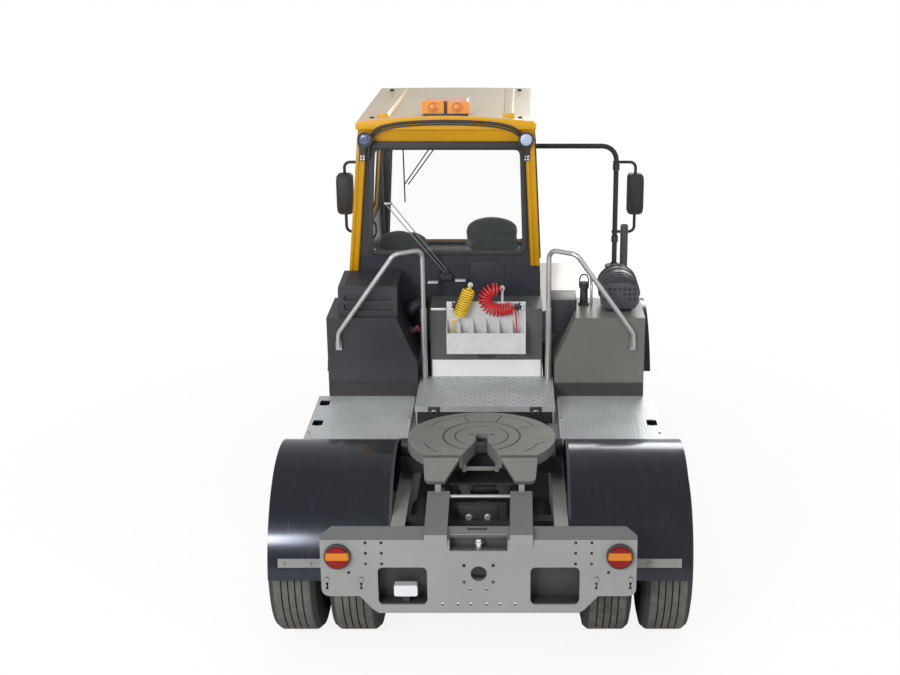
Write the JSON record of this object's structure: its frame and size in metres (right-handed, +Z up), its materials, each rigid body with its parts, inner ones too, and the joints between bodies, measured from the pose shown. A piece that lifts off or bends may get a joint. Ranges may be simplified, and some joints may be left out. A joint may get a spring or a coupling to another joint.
{
  "type": "terminal tractor",
  "caption": "Short two-axle terminal tractor with an offset cab, side engine cowl, lifting fifth wheel on a boom, steered front wheels and twin rear wheels.",
  "frame": {"origin": "on the ground, midway along the length and the width", "axes": "+Y forward along the vehicle, +X to its right, +Z up"},
  "size_m": [2.476, 5, 2.93],
  "materials": {
    "chassis_grey": "dark grey semi-gloss paint",
    "bumper_grey": "mid grey satin paint",
    "lamp_red": "red and amber lenses",
    "mudguard_black": "glossy black moulding",
    "tread_aluminium": "bare tread plate",
    "kick_white": "off-white paint",
    "panel_grey": "dark grey satin paint",
    "galvanised": "galvanised",
    "hose_yellow": "yellow coiled hose",
    "hose_red": "red coiled hose",
    "cabinet_dark": "charcoal paint",
    "cabinet_warm": "warm grey paint",
    "cover_plastic": "dark moulded plastic",
    "pipe_dark": "heat-darkened steel",
    "cylinder_steel": "grey paint",
    "rod_chrome": "polished",
    "fifth_cast": "grey painted casting",
    "axle_black": "black paint",
    "tyre": "dusty rubber",
    "rim_paint": "light grey paint",
    "cowl_beige": "warm pale grey paint",
    "lamp_white": "clear lenses",
    "cab_yellow": "golden yellow gloss paint",
    "glass": "clear glass",
    "seat_fabric": "dark woven cloth",
    "lamp_amber": "amber lens"
  },
  "bodies": {
    "chassis": {"frame_rails": "chassis_grey", "crossmembers": "chassis_grey", "side_brackets": "chassis_grey", "battery_box": "chassis_grey", "fuel_tank": "chassis_grey", "cab_steps": "chassis_grey", "cab_floor": "chassis_grey", "front_bumper": "chassis_grey", "rear_bumper": "bumper_grey", "pickup_ramps": "bumper_grey", "rear_lamps": "lamp_red", "rear_mudguards": "mudguard_black", "front_mudguards": "mudguard_black", "deck_plates": "tread_aluminium", "platform": "tread_aluminium", "kick_plate": "kick_white", "centre_panel": "panel_grey", "hose_tray": "galvanised", "handrails": "galvanised", "yellow_hose": "hose_yellow", "red_hose": "hose_red", "left_cabinet": "cabinet_dark", "cab_rear_wall": "cabinet_dark", "right_cabinet": "cabinet_warm", "louvred_cover": "cover_plastic", "air_cleaner": "cover_plastic", "grille": "cover_plastic", "mirrors": "cover_plastic", "dashboard": "cover_plastic", "exhaust_stack": "pipe_dark", "rear_axle": "axle_black", "front_axle": "axle_black", "engine_block": "axle_black", "engine_cowl": "cowl_beige", "headlamps": "lamp_white", "cab_side_walls": "cab_yellow", "cab_front_wall": "cab_yellow", "cab_roof": "cab_yellow", "cab_glass": "glass", "seats": "seat_fabric", "roof_lamps": "lamp_amber"},
    "lift_boom": {"lift_boom": "bumper_grey"},
    "lift_barrels": {"lift_barrels": "cylinder_steel"},
    "lift_rods": {"lift_rods": "rod_chrome"},
    "fifth_wheel": {"fifth_wheel_plate": "fifth_cast", "fifth_wheel_jaw": "fifth_cast"},
    "left_knuckle": {"left_knuckle": "axle_black"},
    "right_knuckle": {"right_knuckle": "axle_black"},
    "tie_rod": {"tie_rod": "axle_black"},
    "front_left_wheel": {"front_left_tyre": "tyre", "front_left_rim": "rim_paint"},
    "front_right_wheel": {"front_right_tyre": "tyre", "front_right_rim": "rim_paint"},
    "rear_left_wheels": {"rear_left_tyres": "tyre", "rear_left_rims": "rim_paint"},
    "rear_right_wheels": {"rear_right_tyres": "tyre", "rear_right_rims": "rim_paint"},
    "cab_door": {"cab_door": "cab_yellow", "door_glass": "glass"}
  },
  "joints": [
    {"name": "boom_lift", "type": "hinge", "parent": "chassis", "child": "lift_boom", "pos_m": [0, -0.52, 0.72], "axis": [-1, 0, 0], "range_deg": [0, 20]},
    {"name": "barrel_swing", "type": "hinge", "parent": "chassis", "child": "lift_barrels", "pos_m": [0, -0.91, 0.54], "axis": [-1, 0, 0], "range_deg": [0, 21]},
    {"name": "rod_slide", "type": "slide", "parent": "lift_barrels", "child": "lift_rods", "axis": [0, -0.5779, 0.8161], "range_m": [0, 0.16]},
    {"name": "fifth_wheel_tilt", "type": "hinge", "parent": "lift_boom", "child": "fifth_wheel", "pos_m": [0, -1.52, 1.105], "axis": [1, 0, 0], "range_deg": [-8, 8]},
    {"name": "steer_left", "type": "hinge", "parent": "chassis", "child": "left_knuckle", "pos_m": [-0.87, 1.3, 0.53], "axis": [0, 0, 1], "range_deg": [-35, 35]},
    {"name": "steer_right", "type": "hinge", "parent": "chassis", "child": "right_knuckle", "pos_m": [0.87, 1.3, 0.53], "axis": [0, 0, 1], "range_deg": [-35, 35]},
    {"name": "tie_rod_slide", "type": "slide", "parent": "chassis", "child": "tie_rod", "axis": [1, 0, 0], "range_m": [-0.11, 0.11]},
    {"name": "front_left_spin", "type": "hinge", "parent": "left_knuckle", "child": "front_left_wheel", "pos_m": [-1.02, 1.3, 0.53], "axis": [1, 0, 0], "continuous": true},
    {"name": "front_right_spin", "type": "hinge", "parent": "right_knuckle", "child": "front_right_wheel", "pos_m": [1.02, 1.3, 0.53], "axis": [1, 0, 0], "continuous": true},
    {"name": "rear_left_spin", "type": "hinge", "parent": "chassis", "child": "rear_left_wheels", "pos_m": [-0.915, -1.65, 0.53], "axis": [1, 0, 0], "continuous": true},
    {"name": "rear_right_spin", "type": "hinge", "parent": "chassis", "child": "rear_right_wheels", "pos_m": [0.915, -1.65, 0.53], "axis": [1, 0, 0], "continuous": true},
    {"name": "door_swing", "type": "hinge", "parent": "chassis", "child": "cab_door", "pos_m": [-0.9925, 1.112, 1.7], "axis": [0, 0, -1], "range_deg": [0, 75]}
  ],
  "couplings": [
    {"joint": "barrel_swing", "follows": "boom_lift", "ratio": 1.0065},
    {"joint": "rod_slide", "follows": "boom_lift", "m_per_rad": 0.4273},
    {"joint": "steer_right", "follows": "steer_left", "ratio": 1},
    {"joint": "tie_rod_slide", "follows": "steer_left", "m_per_rad": 0.169}
  ]
}
